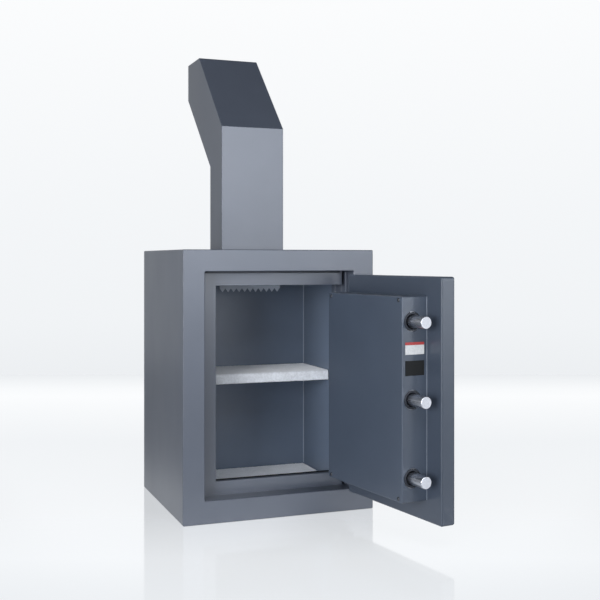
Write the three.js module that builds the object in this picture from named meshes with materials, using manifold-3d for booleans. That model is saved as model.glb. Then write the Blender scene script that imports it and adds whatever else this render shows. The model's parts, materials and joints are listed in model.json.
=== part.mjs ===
// Through-counter deposit safe with a gooseneck duct on top and its door standing open.
// Millimetres. +Z is up, +X is to the right for someone facing the door, +Y goes into the safe.
// The origin is the middle of the underside.
import * as THREE from 'three';
import { mergeVertices } from 'three/addons/utils/BufferGeometryUtils.js';
import Module from 'manifold-3d';

const wasm = await Module();
wasm.setup();

// Clearances
const seat = 0.3;
const runningGap = 0.3;
// How far a cutting block reaches past the face that it cuts, and a joined one into its neighbour
const overcut = 1;

// Body
const bodyWidth = 517;
const bodyDepth = 459;
const bodyHeight = 686;
const wrapSheet = 4;
const wrapRadius = 3;
const wrapInnerRadius = 0.8;
const backSheet = 5;
const frameSheet = 6;
const frameEdgeRadius = 1.5;

// Recess that the door closes into
const recessSideMargin = 56;
const recessTopMargin = 55;
const recessBottomMargin = 58;
const recessRadius = 3;
const recessDepth = 52;
const revealSheet = 3;

// Stop plates behind the recess, and the deeper pocket on the hinge side
const stopSheet = 10;
const stopLeftWidth = 43.5;
const stopTopWidth = 37.5;
const stopBottomWidth = 35;
const stopReturnDepth = 15;
const stopReturnSheet = 3;
const pocketDepth = 84;
const pocketSlotWidth = 11;
const pocketStopWidth = 18;
const pocketSheet = 4;
const pocketLipLength = 21;
const keeperStart = 40;
const keeperThickness = 9.5;
const keeperProud = 6;

// Compartment
const linerSheet = 2;
const sideWall = 46;
const baseWall = 46;
const topWall = 46;
const backWall = 66;
const shelfTop = 350;
const shelfThickness = 28;
const shelfDepth = 198;
const shelfSideGap = 3;
const carpetThickness = 3;
const floorCarpetThickness = 4;
const bracketSheet = 2;
const bracketHeight = 21;
const bracketWidth = 18;
const bracketInset = 10;

// Gooseneck duct, side profile measured from its front face and from the top of the body
const ductWidth = 180;
const ductSetback = 235;
const ductDepth = 117;
const ductSheet = 3;
const ductTail = 3;
const kneeFrontHeight = 343;
const kneeBackHeight = 240;
const headHeight = 575;
const headReach = 238;
const mouthReach = 368;
const mouthSillHeight = 466;

// Saw-toothed strip under the duct
const stripWidth = 177;
const stripSheet = 2.5;
const stripSetback = 23.5;
const stripLegHeight = 30;
const stripBendDrop = 40;
const stripDrop = 59;
const toothHeight = 11;
const toothCount = 11;

// Hinges
const hingeOutset = 15;
const hingeForward = 12;
const knuckleRadius = 9;
const knuckleLength = 43;
const hingePinRadius = 5;
const pinHeadRadius = 8;
const pinHeadThickness = 3;
const pinTail = 2;
const hingeWasher = 1;
const hingeLeafSheet = 6;
const frameLeafWidth = 32;
const doorLeafWidth = 54;
const hingeEndDistance = 95;
const openAngle = 98;

// Door slab
const doorSideGap = 4;
const doorTopGap = 9;
const doorBottomGap = 2;
const slabThickness = 38;
const slabCornerRadius = 5.5;
const slabEdgeRadius = 4.5;
const skinSheet = 5;
const returnSheet = 3;
const doorBackSheet = 3;
const hardPlateSheet = 5;
const hardPlateMargin = 60;

// Cover of the boltwork on the inside of the door
const coverSheet = 2;
const coverDepth = 69;
const coverHingeClearance = 2;
const coverFreeClearance = 15.5;
const coverEndClearance = 16.5;
const coverRadius = 3;
const coverEdgeRadius = 2;
const postSideInset = 14;
const postEndInset = 8.5;
const postRadius = 5.5;
const screwRadius = 2.5;
const screwHeadRadius = 4.5;
const screwHeadHeight = 2.4;
const screwLength = 14;
const labelSheet = 0.5;
const labelWidth = 52;
const upperLabelHeight = 28;
const lowerLabelHeight = 34;
const labelDrop = 47;
const labelSpacing = 14;

// Boltwork
const boltDiameter = 28.5;
const boltAxisHeight = 40.5;
const boltProud = 54;
const boltThrow = 49;
const boltEndMargin = 55.75;
const boltDrop = 1.25;
const boltLength = 97;
const boltChamfer = 1.5;
const forkDepth = 22;
const barWidth = 40;
const barSheet = 10;
const barOverhang = 35;
const armSheet = 5;
const armHeight = 24;
const armDrop = 5;
const armEndWall = 12;
const hornWidth = 14;
const hornHeight = 8;
const studRadius = 4.7;
const studHeadRadius = 9;
const studHeadSheet = 2;
const studShoulderRadius = 8;
const studStripSheet = 4;
const bushingGap = 2.25;
const bushingWall = 2.1;
const bushingTail = 2;
const bushingFlangeRadius = 21.3;
const coverHoleGap = 1.7;
const guideSheet = 5;
const guideFoot = 30;
const guideOverhang = 29;
const fixedBarSheet = 12;
const fixedBarFoot = 10;
const fixedBarStandoff = 14;
const fixedBarInset = 10;

// Handle, dial and lock
const lockOffset = 181;
const crankRadius = boltThrow / Math.SQRT2;
const crankPinRadius = 5;
const crankPlay = 1.4;
const camRadius = 40;
const camSheet = 8;
const camDrop = 1.5;
const spindleRadius = 6;
const bushRadius = 15;
const bushLength = 7;
const rosetteRadius = 30;
const rosetteSheet = 6;
const hubRadius = 14;
const hubLength = 34;
const hubChamfer = 2;
const hubCap = 12;
const leverReach = 115;
const leverHeight = 18;
const leverEndHeight = 14;
const leverSheet = 13;
const leverEdgeRadius = 2.5;
const spindleTail = 2;
const dialRadius = 36.5;
const dialSheet = 8;
const dialFaceGap = 2;
const dialSpindleGrip = 6;
const dialKnobRadius = 19;
const dialKnobLength = 24;
const dialRingGap = 1;
const dialRingWidth = 6;
const dialRingChamfer = 2;
const dialBevelWidth = 5;
const dialBevelHeight = 4;
const dialKnobChamfer = 2;
const dialSpindleRadius = 4;
const lockWidth = 61;
const lockHeight = 85;
const lockSheet = 35;
const lockBoreWall = 5;
const lockEndPlay = 1;
const lockMountSheet = 11;
const lockMountMargin = 4;
const lockMountHoleRadius = 6;
const lockBoltWidth = 25;
const lockBoltSheet = 10;
const lockBoltLength = 22;
const lockBoltProud = 1;
const lockArmGap = 2;
const lockArmPlay = 4.5;

// Places that follow from the sizes, body
const frontY = -bodyDepth / 2;
const backY = bodyDepth / 2;
const leftX = -bodyWidth / 2;
const rightX = bodyWidth / 2;
const recessLeft = leftX + recessSideMargin;
const recessRight = rightX - recessSideMargin;
const recessBottom = recessBottomMargin;
const recessTop = bodyHeight - recessTopMargin;
const recessWidth = recessRight - recessLeft;
const openingLeft = recessLeft + stopLeftWidth;
const openingRight = recessRight - pocketStopWidth;
const openingBottom = recessBottom + stopBottomWidth;
const openingTop = recessTop - stopTopWidth;
const stopFace = frontY + recessDepth;
const stopBack = stopFace + stopSheet;
const pocketFace = frontY + pocketDepth;
const pocketSlotLeft = recessRight - pocketSlotWidth;
const linerLeft = leftX + sideWall;
const linerRight = rightX - sideWall;
const linerBottom = baseWall;
const linerTop = bodyHeight - topWall;
const linerBack = backY - backWall;
const linerFront = stopBack + seat;
const ductFront = frontY + ductSetback;
const ductBack = ductFront + ductDepth;
const ductBottom = linerTop - ductTail;
const hingeX = recessRight + hingeOutset;
const hingeY = frontY - hingeForward;

// Places on the door. u runs from the hinge axis towards the free edge, v runs from it into the safe.
const slabHinge = hingeOutset + doorSideGap;
const slabFree = hingeOutset + recessWidth - doorSideGap;
const slabBottom = recessBottom + doorBottomGap;
const slabTop = recessTop - doorTopGap;
const slabOuter = hingeForward;
const hingeHeights = { upper: slabTop - hingeEndDistance, lower: slabBottom + hingeEndDistance };
const slabInner = slabOuter + slabThickness;
const backPlateOuter = slabInner - doorBackSheet;
const coverHinge = hingeOutset + pocketStopWidth + coverHingeClearance;
const coverFree = hingeOutset + recessWidth - stopLeftWidth - coverFreeClearance;
const coverBottom = openingBottom + coverEndClearance;
const coverTop = openingTop - coverEndClearance;
const coverInner = slabInner + coverDepth;
const onBackPlate = slabInner + seat;
const screwBore = screwRadius + runningGap;
const boltMiddleHeight = (coverBottom + coverTop) / 2 - boltDrop;
const boltPitch = (coverTop - coverBottom) / 2 - boltEndMargin;
const boltHeights = {
  upper: boltMiddleHeight + boltPitch,
  middle: boltMiddleHeight,
  lower: boltMiddleHeight - boltPitch,
};
const labelTop = boltHeights.upper - labelDrop;
const boltRadius = boltDiameter / 2;
const boltAxis = slabInner + boltAxisHeight;
const boltTip = coverFree + boltProud;
const boltEnd = boltTip - boltLength;
const barFree = boltEnd + forkDepth - seat;
const barHinge = barFree - barWidth;
const armOffset = boltPitch / 2 - armDrop;
const guideFree = coverFree - coverSheet - bushingGap - seat;
const guideHinge = guideFree - guideSheet;
const lockU = slabHinge + lockOffset;
const handleHeight = boltMiddleHeight;
const crankOffset = crankRadius / Math.SQRT2;
const slotHalf = crankPinRadius + crankPlay;
const camInner = boltAxis - barSheet / 2 - camDrop;
const spindleBore = spindleRadius + 2 * runningGap;
const hubBase = slabOuter - seat - rosetteSheet - seat;
const dialSpindleBore = dialSpindleRadius + 2 * runningGap;
const studSlotHalf = studRadius + 2 * runningGap;
const armHinge = lockU + lockBoltWidth / 2 + lockArmPlay;
const studU = armHinge + armEndWall + studSlotHalf;
const hornTop = handleHeight + armOffset + armHeight / 2 + hornHeight;
const lockBottom = hornTop + lockArmGap + lockBoltProud;
const dialZ = lockBottom + lockHeight / 2;
const dialInner = slabOuter - dialFaceGap;
const lockOuter = onBackPlate + lockMountSheet + seat;
const lockBoreEnd = lockOuter + lockSheet - lockBoreWall;

// Helpers for shapes

function block(x0, x1, y0, y1, z0, z1) {
  const geometry = new THREE.BoxGeometry(x1 - x0, y1 - y0, z1 - z0);
  return geometry.translate((x0 + x1) / 2, (y0 + y1) / 2, (z0 + z1) / 2);
}

// A block on the door, given in u, v and z
function doorBlock(u0, u1, v0, v1, z0, z1) {
  return block(-u1, -u0, v0, v1, z0, z1);
}

function outline(points) {
  return new THREE.Shape(points.map(([a, b]) => new THREE.Vector2(a, b)));
}

function roundedRect(a0, a1, b0, b1, radius) {
  const shape = new THREE.Shape();
  shape.moveTo(a0 + radius, b0);
  shape.lineTo(a1 - radius, b0);
  shape.absarc(a1 - radius, b0 + radius, radius, -Math.PI / 2, 0);
  shape.lineTo(a1, b1 - radius);
  shape.absarc(a1 - radius, b1 - radius, radius, 0, Math.PI / 2);
  shape.lineTo(a0 + radius, b1);
  shape.absarc(a0 + radius, b1 - radius, radius, Math.PI / 2, Math.PI);
  shape.lineTo(a0, b0 + radius);
  shape.absarc(a0 + radius, b0 + radius, radius, Math.PI, Math.PI * 1.5);
  return shape;
}

// A shape drawn in X and Z, given thickness along Y. The edges of both faces may be rounded.
function plateXZ(shape, y0, y1, edgeRadius = 0) {
  const geometry = new THREE.ExtrudeGeometry(shape, {
    depth: y1 - y0 - 2 * edgeRadius,
    curveSegments: 3,
    bevelEnabled: edgeRadius > 0,
    bevelThickness: edgeRadius,
    bevelSize: edgeRadius,
    bevelOffset: -edgeRadius,
    bevelSegments: 2,
  });
  return geometry.rotateX(Math.PI / 2).translate(0, y1 - edgeRadius, 0);
}

// A shape drawn in Y and Z, given length along X
function barYZ(points, x0, x1) {
  const geometry = new THREE.ExtrudeGeometry(outline(points), { depth: x1 - x0, bevelEnabled: false });
  return geometry.rotateX(Math.PI / 2).rotateZ(Math.PI / 2).translate(x0, 0, 0);
}

// A shape drawn in X and Y, given height along Z
function barXY(points, z0, z1) {
  const geometry = new THREE.ExtrudeGeometry(outline(points), { depth: z1 - z0, bevelEnabled: false });
  return geometry.translate(0, 0, z0);
}

function cylinderZ(radius, z0, z1, sides = 24) {
  const geometry = new THREE.CylinderGeometry(radius, radius, z1 - z0, sides);
  return geometry.rotateX(Math.PI / 2).translate(0, 0, (z0 + z1) / 2);
}

// A turned shape round a line through u and z that runs along v. The profile holds [radius, v] pairs.
function turnedV(profile, u, z, sides = 24) {
  const points = profile.map(([radius, v]) => new THREE.Vector2(radius, v));
  return new THREE.LatheGeometry(points, sides).translate(-u, 0, z);
}

function cylinderV(radius, v0, v1, u, z, sides = 24) {
  return turnedV([[0, v0], [radius, v0], [radius, v1], [0, v1]], u, z, sides);
}

// A turned shape round a line through v and z that runs along u
function turnedU(profile, v, z, sides = 24) {
  const points = profile.map(([radius, u]) => new THREE.Vector2(radius, u));
  return new THREE.LatheGeometry(points, sides).rotateZ(Math.PI / 2).translate(0, v, z);
}

function cylinderU(radius, u0, u1, v, z, sides = 24) {
  return turnedU([[0, u0], [radius, u0], [radius, u1], [0, u1]], v, z, sides);
}

function toSolid(geometry) {
  const bare = geometry.index ? geometry.toNonIndexed() : geometry.clone();
  bare.deleteAttribute('normal');
  bare.deleteAttribute('uv');
  const merged = mergeVertices(bare, 1e-4);
  return new wasm.Manifold(new wasm.Mesh({
    numProp: 3,
    vertProperties: new Float32Array(merged.attributes.position.array),
    triVerts: new Uint32Array(merged.index.array),
  }));
}

function toGeometry(solid) {
  const mesh = solid.getMesh();
  const geometry = new THREE.BufferGeometry();
  geometry.setAttribute('position', new THREE.BufferAttribute(new Float32Array(mesh.vertProperties), 3));
  geometry.setIndex(new THREE.BufferAttribute(new Uint32Array(mesh.triVerts), 1));
  return geometry;
}

function join(...geometries) {
  return toGeometry(geometries.map(toSolid).reduce((sum, solid) => sum.add(solid)));
}

function cut(geometry, ...tools) {
  return toGeometry(tools.map(toSolid).reduce((rest, tool) => rest.subtract(tool), toSolid(geometry)));
}

function common(first, second) {
  return toGeometry(toSolid(first).intersect(toSolid(second)));
}

// Finishes
const finishes = {
  paint: { color: 0x5a6270, roughness: 0.45, metalness: 0.15 },
  innerPaint: { color: 0x4a525e, roughness: 0.5, metalness: 0.15 },
  doorPaint: { color: 0x465160, roughness: 0.45, metalness: 0.15 },
  insulation: { color: 0xa9a79f, roughness: 0.95, metalness: 0 },
  zinc: { color: 0xc6cad2, roughness: 0.35, metalness: 0.9 },
  chrome: { color: 0xd8dade, roughness: 0.12, metalness: 1 },
  steel: { color: 0x8b9098, roughness: 0.45, metalness: 0.85 },
  brass: { color: 0xb89a55, roughness: 0.4, metalness: 0.9 },
  board: { color: 0x9a8566, roughness: 0.8, metalness: 0 },
  carpet: { color: 0xc3c7cf, roughness: 1, metalness: 0 },
  dialBlack: { color: 0x16181b, roughness: 0.4, metalness: 0.1 },
  labelWhite: { color: 0xe6e4e2, roughness: 0.5, metalness: 0 },
  labelBlack: { color: 0x141416, roughness: 0.4, metalness: 0 },
};
const materials = {};
for (const [name, values] of Object.entries(finishes)) {
  materials[name] = new THREE.MeshStandardMaterial(values);
}

const safe = new THREE.Group();
const door = new THREE.Group();
door.position.set(hingeX, hingeY, 0);
door.rotation.z = THREE.MathUtils.degToRad(openAngle);
safe.add(door);

function place(group, name, geometry, finish) {
  const mesh = new THREE.Mesh(geometry, materials[finish]);
  mesh.name = name;
  group.add(mesh);
}

// Body shell

function ductSpace(clearance) {
  const half = ductWidth / 2 + clearance;
  const bottom = ductBottom - overcut;
  return block(-half, half, ductFront - clearance, ductBack + clearance, bottom, bodyHeight + overcut);
}

function outerWrap() {
  const shape = roundedRect(leftX, rightX, 0, bodyHeight, wrapRadius);
  const sheet = wrapSheet;
  shape.holes.push(roundedRect(leftX + sheet, rightX - sheet, sheet, bodyHeight - sheet, wrapInnerRadius));
  return cut(plateXZ(shape, frontY + frameSheet + seat, backY), ductSpace(seat));
}

function backPanel() {
  const inset = wrapSheet + seat;
  return block(leftX + inset, rightX - inset, backY - backSheet, backY, inset, bodyHeight - inset);
}

function frontFrame() {
  const shape = roundedRect(leftX, rightX, 0, bodyHeight, wrapRadius);
  shape.holes.push(roundedRect(recessLeft, recessRight, recessBottom, recessTop, recessRadius));
  return plateXZ(shape, frontY, frontY + frameSheet, frameEdgeRadius);
}

function revealLiner() {
  const sheet = revealSheet;
  const outer = [recessLeft - sheet, recessRight + sheet, recessBottom - sheet, recessTop + sheet];
  const shape = roundedRect(...outer, recessRadius + sheet);
  shape.holes.push(roundedRect(recessLeft, recessRight, recessBottom, recessTop, recessRadius));
  return plateXZ(shape, frontY + frameSheet + seat, stopFace - seat);
}

function stopFrame() {
  const outerLeft = linerLeft - linerSheet;
  const outerBottom = linerBottom - linerSheet;
  const outerTop = linerTop + linerSheet;
  const shape = outline([
    [outerLeft, outerBottom],
    [pocketSlotLeft, outerBottom],
    [pocketSlotLeft, openingBottom],
    [openingLeft, openingBottom],
    [openingLeft, openingTop],
    [pocketSlotLeft, openingTop],
    [pocketSlotLeft, outerTop],
    [outerLeft, outerTop],
  ]);
  const plate = plateXZ(shape, stopFace, stopBack);
  const lip = block(
    openingLeft, openingRight - seat, stopBack - overcut, stopBack + stopReturnDepth,
    openingBottom - stopReturnSheet, openingBottom,
  );
  return join(plate, lip);
}

function hingePocket() {
  const outerX = recessRight + revealSheet;
  const stopEnd = pocketFace + pocketSheet;
  const lipEnd = stopEnd + pocketLipLength;
  const bottom = recessBottom - revealSheet;
  const top = recessTop + revealSheet;
  const channel = barXY([
    [outerX, stopFace],
    [outerX, stopEnd],
    [openingRight + pocketSheet, stopEnd],
    [openingRight + pocketSheet, lipEnd],
    [openingRight, lipEnd],
    [openingRight, pocketFace],
    [recessRight, pocketFace],
    [recessRight, stopFace],
  ], bottom, top);
  const capLeft = pocketSlotLeft + seat;
  const capRight = recessRight + overcut;
  const floorCap = block(capLeft, capRight, stopFace, pocketFace + overcut, bottom, recessBottom);
  const roofCap = block(capLeft, capRight, stopFace, pocketFace + overcut, recessTop, top);
  return join(channel, floorCap, roofCap);
}

function keeperStrip() {
  const y0 = frontY + keeperStart;
  const x0 = recessRight - keeperProud;
  const z0 = recessBottom + recessRadius;
  const z1 = recessTop - recessRadius;
  return block(x0, recessRight - seat, y0, y0 + keeperThickness, z0, z1);
}

function innerLiner() {
  const sheet = linerSheet;
  const back = linerBack + sheet;
  const outer = block(
    linerLeft - sheet, linerRight + sheet, linerFront, back, linerBottom - sheet, linerTop + sheet,
  );
  const inner = block(linerLeft, linerRight, linerFront - overcut, linerBack, linerBottom, linerTop);
  const flange = block(
    recessRight + revealSheet + seat, linerRight + overcut, linerFront, linerFront + sheet,
    linerBottom - overcut, linerTop + overcut,
  );
  return join(cut(outer, inner, ductSpace(seat)), flange);
}

// The fill is poured round the inner box, so it is one piece
function insulationFill() {
  const inset = wrapSheet + seat;
  const front = frontY + frameSheet + seat;
  const back = backY - backSheet - seat;
  const gap = linerSheet + seat;
  const fill = block(leftX + inset, rightX - inset, front, back, inset, bodyHeight - inset);
  const inside = block(
    linerLeft - gap, linerRight + gap, front - overcut, linerBack + gap, linerBottom - gap, linerTop + gap,
  );
  return cut(fill, inside, ductSpace(seat));
}

// Gooseneck duct: a bent box section, open at the bottom and at the mouth

// Moves each side of a polygon inwards by its own distance and returns the new corners
function insetPolygon(points, distances) {
  const lines = points.map((start, i) => {
    const end = points[(i + 1) % points.length];
    const length = Math.hypot(end[0] - start[0], end[1] - start[1]);
    const direction = [(end[0] - start[0]) / length, (end[1] - start[1]) / length];
    const normal = [-direction[1], direction[0]];
    const point = [start[0] + normal[0] * distances[i], start[1] + normal[1] * distances[i]];
    return { point, direction };
  });
  return lines.map((line, i) => {
    const before = lines[(i + lines.length - 1) % lines.length];
    const cross = before.direction[0] * line.direction[1] - before.direction[1] * line.direction[0];
    const gap = [line.point[0] - before.point[0], line.point[1] - before.point[1]];
    const along = (gap[0] * line.direction[1] - gap[1] * line.direction[0]) / cross;
    return [before.point[0] + before.direction[0] * along, before.point[1] + before.direction[1] * along];
  });
}

function gooseneckDuct() {
  const top = bodyHeight;
  const outer = [
    [ductFront, ductBottom],
    [ductBack, ductBottom],
    [ductBack, top + kneeBackHeight],
    [ductFront + mouthReach, top + mouthSillHeight],
    [ductFront + mouthReach, top + headHeight],
    [ductFront + headReach, top + headHeight],
    [ductFront, top + kneeFrontHeight],
  ];
  const openEnd = -ductSheet;
  const sheets = [openEnd, ductSheet, ductSheet, openEnd, ductSheet, ductSheet, ductSheet];
  const inner = insetPolygon(outer, sheets);
  const half = ductWidth / 2;
  return cut(barYZ(outer, -half, half), barYZ(inner, -half + ductSheet, half - ductSheet));
}

// The strip hangs from the front wall of the duct, slopes back and ends in saw teeth
function antiFishStrip() {
  const y0 = ductFront + ductSheet + seat;
  const y1 = ductFront + stripSetback;
  const bend = linerTop - stripBendDrop;
  const root = linerTop - stripDrop;
  const tip = root - toothHeight;
  const shoulder = linerTop + ductTail;
  const half = ductWidth / 2 - ductSheet - seat;
  const leg = barYZ([
    [y0, shoulder + stripLegHeight],
    [y0, shoulder],
    [y1, bend],
    [y1, root],
    [y1 + stripSheet, root],
    [y1 + stripSheet, bend + stripSheet / 2],
    [y0 + stripSheet, shoulder + stripSheet / 2],
    [y0 + stripSheet, shoulder + stripLegHeight],
  ], -half, half);
  const pitch = stripWidth / toothCount;
  const points = [[-stripWidth / 2, bend], [-stripWidth / 2, root]];
  for (let i = 0; i < toothCount; i += 1) {
    const start = -stripWidth / 2 + i * pitch;
    points.push([start + pitch / 2, tip]);
    points.push([start + pitch, root]);
  }
  points.push([stripWidth / 2, bend]);
  return join(leg, plateXZ(outline(points), y1, y1 + stripSheet));
}

// Shelf, brackets and carpet

function shelfBoard() {
  const inset = shelfSideGap + carpetThickness;
  const top = shelfTop - carpetThickness - seat;
  const bottom = shelfTop - shelfThickness + carpetThickness + seat;
  const back = linerBack - shelfSideGap;
  const front = back - shelfDepth + carpetThickness + seat;
  return block(linerLeft + inset, linerRight - inset, front, back, bottom, top);
}

function shelfCarpet() {
  const back = linerBack - shelfSideGap;
  const front = back - shelfDepth;
  const bottom = shelfTop - shelfThickness;
  return barYZ([
    [back, shelfTop],
    [front, shelfTop],
    [front, bottom],
    [back, bottom],
    [back, bottom + carpetThickness],
    [front + carpetThickness, bottom + carpetThickness],
    [front + carpetThickness, shelfTop - carpetThickness],
    [back, shelfTop - carpetThickness],
  ], linerLeft + shelfSideGap, linerRight - shelfSideGap);
}

function shelfBracket(side) {
  const top = shelfTop - shelfThickness - seat;
  const back = linerBack - shelfSideGap - bracketInset;
  const front = linerBack - shelfSideGap - shelfDepth + bracketInset;
  const wall = (side < 0 ? linerLeft : linerRight) - side * seat;
  const legEnd = wall - side * bracketSheet;
  const armEnd = wall - side * bracketWidth;
  const leg = block(Math.min(wall, legEnd), Math.max(wall, legEnd), front, back, top - bracketHeight, top);
  const arm = block(Math.min(wall, armEnd), Math.max(wall, armEnd), front, back, top - bracketSheet, top);
  return join(leg, arm);
}

function floorCarpet() {
  const bottom = linerBottom + seat;
  const gap = shelfSideGap;
  return block(
    linerLeft + gap, linerRight - gap, stopBack + gap, linerBack - gap, bottom, bottom + floorCarpetThickness,
  );
}

// Hinges: a fixed knuckle with a leaf below, a door knuckle with a leaf above, on one pin

function pinHole() {
  return cylinderZ(hingePinRadius + runningGap, -bodyHeight, bodyHeight * 2);
}

function frameLeaf(height) {
  const top = height - hingeWasher / 2 - seat;
  const bottom = top - knuckleLength;
  const plateBack = hingeForward - seat;
  const plate = block(0, frameLeafWidth, plateBack - hingeLeafSheet, plateBack, bottom, top);
  return cut(join(cylinderZ(knuckleRadius, bottom, top), plate), pinHole()).translate(hingeX, hingeY, 0);
}

function doorLeaf(height) {
  const bottom = height + hingeWasher / 2 + seat;
  const top = bottom + knuckleLength;
  const plateBack = slabOuter - seat;
  const plate = doorBlock(0, doorLeafWidth, plateBack - hingeLeafSheet, plateBack, bottom, top);
  return cut(join(cylinderZ(knuckleRadius, bottom, top), plate), pinHole());
}

function hingePin(height) {
  const reach = hingeWasher / 2 + seat + knuckleLength;
  const headBottom = height + reach + seat;
  const shank = cylinderZ(hingePinRadius, height - reach - pinTail, headBottom + overcut);
  const head = cylinderZ(pinHeadRadius, headBottom, headBottom + pinHeadThickness);
  return join(shank, head).translate(hingeX, hingeY, 0);
}

function hingeWasherRing(height) {
  const ring = cylinderZ(knuckleRadius, height - hingeWasher / 2, height + hingeWasher / 2);
  return cut(ring, pinHole()).translate(hingeX, hingeY, 0);
}

// Door slab

function slabBlock(v0, v1, cutV0, cutV1) {
  const shape = roundedRect(-slabFree, -slabHinge, slabBottom, slabTop, slabCornerRadius);
  const rounded = plateXZ(shape, v0, v1, slabEdgeRadius);
  const kept = doorBlock(
    slabHinge - overcut, slabFree + overcut, cutV0, cutV1, slabBottom - overcut, slabTop + overcut,
  );
  return common(rounded, kept);
}

function spindleHoles() {
  const v0 = slabOuter - overcut;
  const v1 = slabInner + overcut;
  return [
    cylinderV(spindleBore, v0, v1, lockU, handleHeight),
    cylinderV(dialSpindleBore, v0, v1, lockU, dialZ),
  ];
}

function doorSkin() {
  const open = doorBlock(
    slabHinge + returnSheet, slabFree - returnSheet, slabOuter + skinSheet, slabInner,
    slabBottom + returnSheet, slabTop - returnSheet,
  );
  const shell = slabBlock(slabOuter, slabInner + slabThickness, slabOuter, backPlateOuter - seat);
  return cut(shell, open, ...spindleHoles());
}

function doorBackPlate() {
  return cut(slabBlock(slabOuter, slabInner, backPlateOuter, slabInner), ...spindleHoles());
}

function hardPlateSpace(clearance) {
  const u0 = lockU - hardPlateMargin - clearance;
  const u1 = lockU + hardPlateMargin + clearance;
  const z0 = handleHeight - hardPlateMargin - clearance;
  const z1 = dialZ + hardPlateMargin + clearance;
  const v0 = slabOuter + skinSheet + seat - clearance;
  return doorBlock(u0, u1, v0, slabOuter + skinSheet + seat + hardPlateSheet + clearance, z0, z1);
}

function hardPlate() {
  return cut(hardPlateSpace(0), ...spindleHoles());
}

function doorFill() {
  const inset = returnSheet + seat;
  const fill = doorBlock(
    slabHinge + inset, slabFree - inset, slabOuter + skinSheet + seat, backPlateOuter - seat,
    slabBottom + inset, slabTop - inset,
  );
  return cut(fill, hardPlateSpace(seat), ...spindleHoles());
}

// Cover of the boltwork

function postPlaces() {
  const us = [coverHinge + postSideInset, coverFree - postSideInset];
  const zs = [coverBottom + postEndInset, coverTop - postEndInset];
  return us.flatMap((u) => zs.map((z) => [u, z]));
}

function boltCover() {
  const shape = roundedRect(-coverFree, -coverHinge, coverBottom, coverTop, coverRadius);
  const rounded = plateXZ(shape, slabInner - coverDepth, coverInner, coverEdgeRadius);
  const outside = doorBlock(
    coverHinge - overcut, coverFree + overcut, onBackPlate, coverInner + overcut,
    coverBottom - overcut, coverTop + overcut,
  );
  const inside = doorBlock(
    coverHinge + coverSheet, coverFree - coverSheet, slabInner - overcut, coverInner - coverSheet,
    coverBottom + coverSheet, coverTop - coverSheet,
  );
  const holeRadius = bushingFlangeRadius + coverHoleGap;
  const boltHoles = Object.values(boltHeights).map(
    (z) => cylinderU(holeRadius, coverFree - coverSheet - overcut, coverFree + overcut, boltAxis, z, 32),
  );
  const screwHoles = postPlaces().map(
    ([u, z]) => cylinderV(screwBore, coverInner - coverSheet - overcut, coverInner + overcut, u, z, 16),
  );
  return cut(common(rounded, outside), inside, ...boltHoles, ...screwHoles);
}

function coverPost(u, z) {
  const end = coverInner - coverSheet - seat;
  return cut(
    cylinderV(postRadius, onBackPlate, end, u, z, 20),
    cylinderV(screwBore, end - screwLength - overcut, end + overcut, u, z, 16),
  );
}

function coverScrew(u, z) {
  const under = coverInner + seat;
  const end = coverInner - coverSheet - screwLength;
  const chamfer = screwHeadHeight / 3;
  return turnedV([
    [0, end],
    [screwRadius, end],
    [screwRadius, under],
    [screwHeadRadius, under],
    [screwHeadRadius, under + screwHeadHeight - chamfer],
    [screwHeadRadius - chamfer, under + screwHeadHeight],
    [0, under + screwHeadHeight],
  ], u, z, 20);
}

function label(top, height) {
  const u0 = coverFree + seat;
  const v0 = slabInner + (coverDepth - labelWidth) / 2;
  return doorBlock(u0, u0 + labelSheet, v0, v0 + labelWidth, top - height, top);
}

// Boltwork

function bushingBore() {
  return boltRadius + bushingGap;
}

function boltGuidePlate() {
  const bottom = boltHeights.lower - guideOverhang;
  const top = boltHeights.upper + guideOverhang;
  const inner = coverInner - coverSheet - guideSheet;
  const wall = doorBlock(guideHinge, guideFree, onBackPlate, inner, bottom, top);
  const footStart = guideFree - guideFoot;
  const foot = doorBlock(footStart, guideFree, onBackPlate, onBackPlate + guideSheet, bottom, top);
  const holeRadius = bushingBore() + bushingWall + seat;
  const holes = Object.values(boltHeights).map(
    (z) => cylinderU(holeRadius, guideHinge - overcut, guideFree + overcut, boltAxis, z),
  );
  return cut(join(wall, foot), ...holes);
}

function boltBushing(z) {
  const bore = bushingBore();
  const flangeStart = guideFree + seat;
  const flangeEnd = coverFree - seat * 2;
  const tubeStart = guideHinge - bushingTail;
  return turnedU([
    [bore, tubeStart],
    [bore + bushingWall, tubeStart],
    [bore + bushingWall, flangeStart],
    [bushingFlangeRadius, flangeStart],
    [bushingFlangeRadius, flangeEnd],
    [bore, flangeEnd],
    [bore, tubeStart],
  ], boltAxis, z);
}

function roundBolt(z) {
  const blank = turnedU([
    [0, boltEnd],
    [boltRadius, boltEnd],
    [boltRadius, boltTip - boltChamfer],
    [boltRadius - boltChamfer, boltTip],
    [0, boltTip],
  ], boltAxis, z);
  const half = barSheet / 2 + seat;
  const fork = doorBlock(
    boltEnd - overcut, boltEnd + forkDepth, boltAxis - half, boltAxis + half, z - boltRadius, z + boltRadius,
  );
  return cut(blank, fork);
}

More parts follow.
